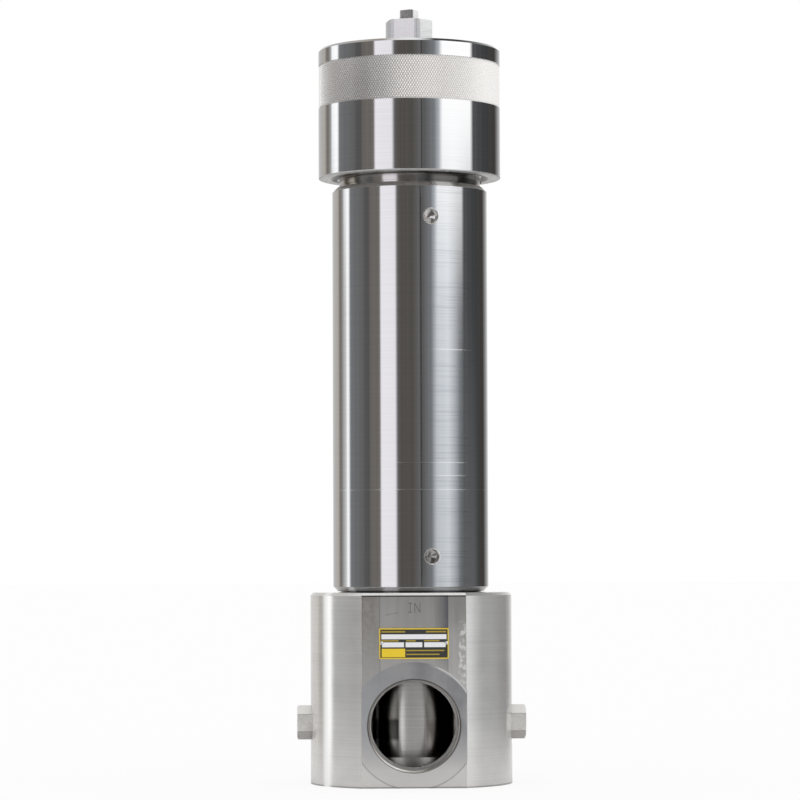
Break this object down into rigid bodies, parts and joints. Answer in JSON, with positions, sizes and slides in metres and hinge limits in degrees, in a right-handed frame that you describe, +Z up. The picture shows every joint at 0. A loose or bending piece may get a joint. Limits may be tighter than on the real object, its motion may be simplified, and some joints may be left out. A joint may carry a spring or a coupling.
{
  "type": "hydraulic pressure filter",
  "caption": "Upright high-pressure hydraulic filter: round steel base block with threaded ports, thick tube housing and a knurled screw cap over a pleated element.",
  "frame": {"origin": "on the upright axis of the housing, at the flat underside of the base block", "axes": "+Z up along the housing axis, -Y out of the inlet port, +X to the right seen from the inlet side"},
  "size_m": [0.1584, 0.127, 0.5385],
  "materials": {
    "satin_steel": "fine-milled and lightly dulled bare steel",
    "turned_steel": "bright turned steel with fine turning lines",
    "plug_steel": "plain machined steel",
    "seal_rubber": "black nitrile rubber",
    "backup_plastic": "off-white plastic",
    "plate_enamel": "black enamel on thin aluminium",
    "rivet_steel": "bright drive rivets",
    "nozzle_steel": "plain turned steel",
    "zinc_steel": "zinc-plated sheet steel",
    "filter_sheet": "pleated filter sheet",
    "valve_aluminium": "plain turned aluminium",
    "valve_steel": "ground steel",
    "spring_steel": "spring wire"
  },
  "bodies": {
    "housing": {"base_block": "satin_steel", "housing_tube": "turned_steel", "gauge_plug_left": "plug_steel", "gauge_plug_right": "plug_steel", "gauge_o_ring_left": "seal_rubber", "gauge_o_ring_right": "seal_rubber", "nameplate": "plate_enamel", "nameplate_rivets": "rivet_steel", "outlet_nozzle": "nozzle_steel", "nozzle_o_ring": "seal_rubber", "element_bottom_cap": "zinc_steel", "element_top_cap": "zinc_steel", "element_core": "zinc_steel", "pleated_media": "filter_sheet", "bypass_body": "valve_aluminium", "bypass_retainer": "valve_aluminium", "bypass_spring": "spring_steel", "tube_o_ring": "seal_rubber", "tube_backup_ring": "backup_plastic"},
    "cap_seals": {"cap_o_ring": "seal_rubber", "cap_backup_ring": "backup_plastic"},
    "cap": {"screw_cap": "turned_steel"},
    "vent": {"vent_plug": "plug_steel"},
    "poppet": {"bypass_poppet": "valve_steel"}
  },
  "joints": [
    {"name": "cap_lift", "type": "slide", "parent": "housing", "child": "cap_seals", "axis": [0, 0, 1], "range_m": [0, 0.0521]},
    {"name": "cap_turn", "type": "hinge", "parent": "cap_seals", "child": "cap", "pos_m": [0, 0, 0.45], "axis": [0, 0, 1], "range_deg": [0, 4680]},
    {"name": "vent_plug_turn", "type": "hinge", "parent": "cap", "child": "vent", "pos_m": [0, 0, 0.53], "axis": [0, 0, 1], "range_deg": [0, 720]},
    {"name": "bypass_poppet_slide", "type": "slide", "parent": "housing", "child": "poppet", "axis": [0, 0, -1], "range_m": [0, 0.005], "stiffness_N_per_m": 2600, "springref_m": -0.013, "deforming": ["bypass_spring"]}
  ],
  "couplings": [
    {"joint": "cap_lift", "follows": "cap_turn", "m_per_rad": 0.00063662}
  ]
}
